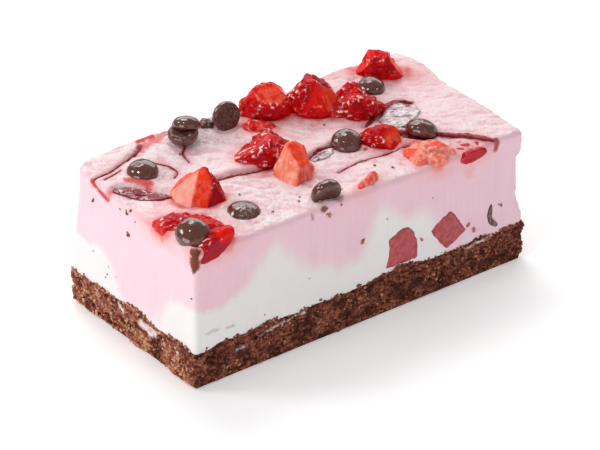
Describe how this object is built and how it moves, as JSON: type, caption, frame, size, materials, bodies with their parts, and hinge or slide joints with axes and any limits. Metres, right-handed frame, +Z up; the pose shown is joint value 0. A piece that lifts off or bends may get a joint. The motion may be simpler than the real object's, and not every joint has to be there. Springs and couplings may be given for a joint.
{
  "type": "strawberry mousse cake",
  "caption": "Oblong portion of strawberry mousse cake: chocolate sponge base, white and pink mousse swirled together, diced strawberries and chocolate drops on top.",
  "frame": {"origin": "middle of the underside, on the surface that the cake stands on", "axes": "+X along the length, +Y across towards the back, +Z up; the cut side with the strawberry dice faces -Y"},
  "size_m": [0.101, 0.0502, 0.0459],
  "materials": {
    "chocolate_sponge": "open, crumbly chocolate sponge, fully matt",
    "white_mousse": "smooth set cream mousse with a soft sheen, slightly translucent",
    "pink_mousse": "smooth set strawberry mousse with a soft sheen, slightly translucent",
    "strawberry": "wet, glossy ripe strawberry",
    "cut_strawberry": "strawberry cut through while frozen, dull and pale",
    "dark_chocolate": "dark chocolate, glossy on the dome and duller on the base"
  },
  "bodies": {
    "root": {"sponge_base": "chocolate_sponge", "white_mousse": "white_mousse", "pink_mousse": "pink_mousse", "chocolate_drop_left": "dark_chocolate", "chocolate_drop_flat": "dark_chocolate", "chocolate_drop_stacked": "dark_chocolate", "chocolate_drop_edge": "dark_chocolate", "chocolate_drop_back": "dark_chocolate", "chocolate_drop_right": "dark_chocolate", "chocolate_drop_middle": "dark_chocolate", "chocolate_drop_front": "dark_chocolate", "chocolate_drop_sunk": "dark_chocolate", "chocolate_drop_corner": "dark_chocolate", "strawberry_corner_flake": "strawberry", "strawberry_wedge_left": "strawberry", "strawberry_crushed_middle": "strawberry", "strawberry_wedge_middle": "strawberry", "strawberry_flat_back": "strawberry", "strawberry_back_left": "strawberry", "strawberry_back_middle": "strawberry", "strawberry_back_crushed": "strawberry", "strawberry_back_right": "strawberry", "strawberry_right_middle": "strawberry", "strawberry_sliver_front": "strawberry", "strawberry_crushed_front": "strawberry", "strawberry_sunk_front": "strawberry", "strawberry_slab_corner": "strawberry", "chocolate_chip_back": "dark_chocolate", "strawberry_side_round": "cut_strawberry", "strawberry_side_diamond": "cut_strawberry", "chocolate_side_sliver": "dark_chocolate"}
  },
  "joints": []
}
